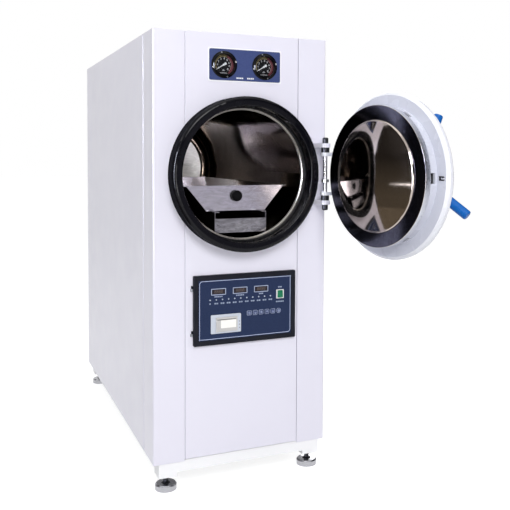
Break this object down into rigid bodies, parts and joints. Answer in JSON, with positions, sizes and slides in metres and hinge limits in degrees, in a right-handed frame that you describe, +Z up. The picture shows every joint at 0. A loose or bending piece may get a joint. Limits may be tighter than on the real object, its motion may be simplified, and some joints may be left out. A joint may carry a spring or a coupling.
{
  "type": "horizontal cylindrical steam sterilizer",
  "caption": "Floor-standing steam sterilizer: tall sheet-steel cabinet on levelling feet, round chamber with a sliding tray, swinging radial-bar door, gauge plate and hinged control panel.",
  "frame": {"origin": "on the floor, in the middle of the four levelling feet, under the middle of the cabinet", "axes": "+X to the right seen from the front, +Y to the back, +Z up"},
  "size_m": [0.8928, 1.8858, 1.471],
  "materials": {
    "white_paint": "semi-gloss powder coat",
    "door_paint": "gloss paint",
    "stainless": "brushed",
    "mirror_steel": "polished",
    "steel": "turned",
    "collar_black": "gloss black",
    "black_rubber": "matt",
    "black_plastic": "satin",
    "grip_blue": "gloss",
    "fascia_blue": "satin film",
    "gauge_blue": "satin",
    "dial_black": "matt print",
    "pointer_white": "matt",
    "clear_glass": "clear",
    "grey_plastic": "satin",
    "white_plastic": "satin",
    "green_plastic": "gloss",
    "lamp_red": "clear lens",
    "paper": "paper",
    "cladding": "foil",
    "frame_grey": "primer"
  },
  "bodies": {
    "cabinet": {"base_frame": "white_paint", "levelling_feet": "steel", "cabinet_frame": "frame_grey", "front_panel": "white_paint", "column_left": "white_paint", "column_right": "white_paint", "side_panel_left": "white_paint", "side_panel_right": "white_paint", "top_cover": "white_paint", "rear_panel": "white_paint", "locking_collar": "collar_black", "door_gasket": "black_rubber", "chamber": "stainless", "jacket": "cladding", "steam_generator": "frame_grey", "pipework": "steel", "rear_fittings": "steel", "tray_support": "stainless", "hinge_brackets": "white_paint", "hinge_pin": "steel", "gauge_plate": "gauge_blue", "gauge_cases": "black_plastic", "gauge_dials": "dial_black", "gauge_glasses": "clear_glass", "control_enclosure": "frame_grey", "control_hinges": "black_plastic"},
    "tray": {"loading_tray": "stainless", "tray_knob": "black_plastic"},
    "door": {"door_head": "mirror_steel", "door_drum": "door_paint", "door_cover": "door_paint", "door_arm": "white_paint", "bar_guides": "steel"},
    "handwheel": {"handwheel_hub": "steel", "cam_plate": "steel", "handwheel_grips": "grip_blue"},
    "control_door": {"control_bezel": "black_plastic", "control_fascia": "fascia_blue", "display_windows": "grey_plastic", "indicator_lamps": "lamp_red", "printer_housing": "grey_plastic", "paper_roll": "paper", "switch_frame": "white_plastic"},
    "printer_flap": {"printer_flap": "white_plastic"},
    "rocker": {"power_rocker": "green_plastic"},
    "needle_left": {"gauge_needle_left": "pointer_white"},
    "needle_right": {"gauge_needle_right": "pointer_white"},
    "lock_bar_1": {"lock_bar_1": "steel"},
    "lock_bar_2": {"lock_bar_2": "steel"},
    "lock_bar_3": {"lock_bar_3": "steel"},
    "lock_bar_4": {"lock_bar_4": "steel"},
    "lock_bar_5": {"lock_bar_5": "steel"},
    "lock_bar_6": {"lock_bar_6": "steel"},
    "key_1": {"key_1": "grey_plastic"},
    "key_2": {"key_2": "grey_plastic"},
    "key_3": {"key_3": "grey_plastic"},
    "key_4": {"key_4": "grey_plastic"},
    "key_5": {"key_5": "grey_plastic"},
    "key_6": {"key_6": "grey_plastic"}
  },
  "joints": [
    {"name": "door_hinge", "type": "hinge", "parent": "cabinet", "child": "door", "pos_m": [0.279, -0.6875, 1.016], "axis": [0, 0, 1], "range_deg": [-101.5, 28]},
    {"name": "wheel_turn", "type": "hinge", "parent": "door", "child": "handwheel", "pos_m": [0.43997, -0.93947, 1.016], "axis": [-0.9799, -0.1994, 0], "range_deg": [0, 60]},
    {"name": "bar_1_slide", "type": "slide", "parent": "door", "child": "lock_bar_1", "axis": [0.1994, -0.9799, 0], "range_m": [0, 0.022]},
    {"name": "bar_2_slide", "type": "slide", "parent": "door", "child": "lock_bar_2", "axis": [0.0997, -0.49, 0.866], "range_m": [0, 0.022]},
    {"name": "bar_3_slide", "type": "slide", "parent": "door", "child": "lock_bar_3", "axis": [-0.0997, 0.49, 0.866], "range_m": [0, 0.022]},
    {"name": "bar_4_slide", "type": "slide", "parent": "door", "child": "lock_bar_4", "axis": [-0.1994, 0.9799, 0], "range_m": [0, 0.022]},
    {"name": "bar_5_slide", "type": "slide", "parent": "door", "child": "lock_bar_5", "axis": [-0.0997, 0.49, -0.866], "range_m": [0, 0.022]},
    {"name": "bar_6_slide", "type": "slide", "parent": "door", "child": "lock_bar_6", "axis": [0.0997, -0.49, -0.866], "range_m": [0, 0.022]},
    {"name": "tray_slide", "type": "slide", "parent": "cabinet", "child": "tray", "axis": [0, -1, 0], "range_m": [0, 0.5]},
    {"name": "control_door_hinge", "type": "hinge", "parent": "cabinet", "child": "control_door", "pos_m": [-0.1745, -0.6495, 0.577], "axis": [0, 0, -1], "range_deg": [0, 100]},
    {"name": "printer_flap_hinge", "type": "hinge", "parent": "control_door", "child": "printer_flap", "pos_m": [-0.0605, -0.6598, 0.5065], "axis": [1, 0, 0], "range_deg": [0, 95]},
    {"name": "rocker_pivot", "type": "hinge", "parent": "control_door", "child": "rocker", "pos_m": [0.1285, -0.6554, 0.614], "axis": [1, 0, 0], "range_deg": [0, 16]},
    {"name": "key_1_press", "type": "slide", "parent": "control_door", "child": "key_1", "axis": [0, 1, 0], "range_m": [0, 0.0008], "stiffness_N_per_m": 800, "springref_m": -0.0004},
    {"name": "key_2_press", "type": "slide", "parent": "control_door", "child": "key_2", "axis": [0, 1, 0], "range_m": [0, 0.0008], "stiffness_N_per_m": 800, "springref_m": -0.0004},
    {"name": "key_3_press", "type": "slide", "parent": "control_door", "child": "key_3", "axis": [0, 1, 0], "range_m": [0, 0.0008], "stiffness_N_per_m": 800, "springref_m": -0.0004},
    {"name": "key_4_press", "type": "slide", "parent": "control_door", "child": "key_4", "axis": [0, 1, 0], "range_m": [0, 0.0008], "stiffness_N_per_m": 800, "springref_m": -0.0004},
    {"name": "key_5_press", "type": "slide", "parent": "control_door", "child": "key_5", "axis": [0, 1, 0], "range_m": [0, 0.0008], "stiffness_N_per_m": 800, "springref_m": -0.0004},
    {"name": "key_6_press", "type": "slide", "parent": "control_door", "child": "key_6", "axis": [0, 1, 0], "range_m": [0, 0.0008], "stiffness_N_per_m": 800, "springref_m": -0.0004},
    {"name": "needle_left_turn", "type": "hinge", "parent": "cabinet", "child": "needle_left", "pos_m": [-0.067, -0.643, 1.3695], "axis": [0, 1, 0], "range_deg": [0, 256], "stiffness_Nm_per_rad": 0.0005, "springref_deg": -5.73},
    {"name": "needle_right_turn", "type": "hinge", "parent": "cabinet", "child": "needle_right", "pos_m": [0.073, -0.643, 1.3695], "axis": [0, 1, 0], "range_deg": [0, 256], "stiffness_Nm_per_rad": 0.0005, "springref_deg": -5.73}
  ],
  "couplings": [
    {"joint": "bar_1_slide", "follows": "wheel_turn", "m_per_rad": 0.021008},
    {"joint": "bar_2_slide", "follows": "wheel_turn", "m_per_rad": 0.021008},
    {"joint": "bar_3_slide", "follows": "wheel_turn", "m_per_rad": 0.021008},
    {"joint": "bar_4_slide", "follows": "wheel_turn", "m_per_rad": 0.021008},
    {"joint": "bar_5_slide", "follows": "wheel_turn", "m_per_rad": 0.021008},
    {"joint": "bar_6_slide", "follows": "wheel_turn", "m_per_rad": 0.021008}
  ]
}
